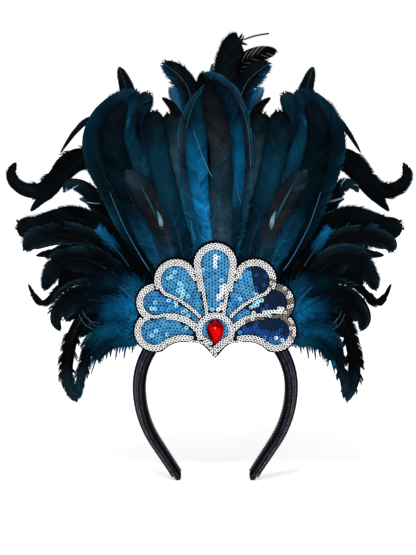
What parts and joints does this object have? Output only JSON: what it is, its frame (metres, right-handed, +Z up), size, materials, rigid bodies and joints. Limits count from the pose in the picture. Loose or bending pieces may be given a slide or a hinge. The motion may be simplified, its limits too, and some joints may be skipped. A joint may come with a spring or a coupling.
{
  "type": "showgirl feather headdress",
  "caption": "Padded headband that stands on its tips, with a scalloped sequin plaque, a pear-cut stone and a tall fan of curling feathers.",
  "frame": {"origin": "on the floor, under the middle of the part's bounding box, between the headband's two tips", "axes": "+Z up from the headband's tips to the top of the fan; -Y towards the front, where the plaque shows; +X to the viewer's right, the wearer's left"},
  "size_m": [0.3808, 0.1192, 0.4042],
  "materials": {
    "satin": "dark navy satin over padding",
    "ribbon": "black woven ribbon",
    "gimp": "dark braid with a dotted stitch",
    "felt": "black felt board",
    "sequins": "sky blue sequins",
    "silver": "silver sequin braid",
    "stone": "red faceted stone, mirror backed",
    "feathers": "dyed cockerel feathers, blue-black to bright blue at the roots"
  },
  "bodies": {
    "root": {"headband": "satin", "band_lining": "ribbon", "front_braid": "gimp", "outer_braid": "gimp", "plaque_board": "felt", "silver_braid": "silver", "medallion": "sequins", "stone": "stone", "petal_top": "sequins", "petal_upper_left": "sequins", "petal_upper_right": "sequins", "petal_middle_left": "sequins", "petal_middle_right": "sequins", "petal_lower_left": "sequins", "petal_lower_right": "sequins", "fan_front": "feathers", "fan_middle": "feathers", "fan_back": "feathers", "side_plume_left": "feathers", "side_plume_right": "feathers"}
  },
  "joints": []
}
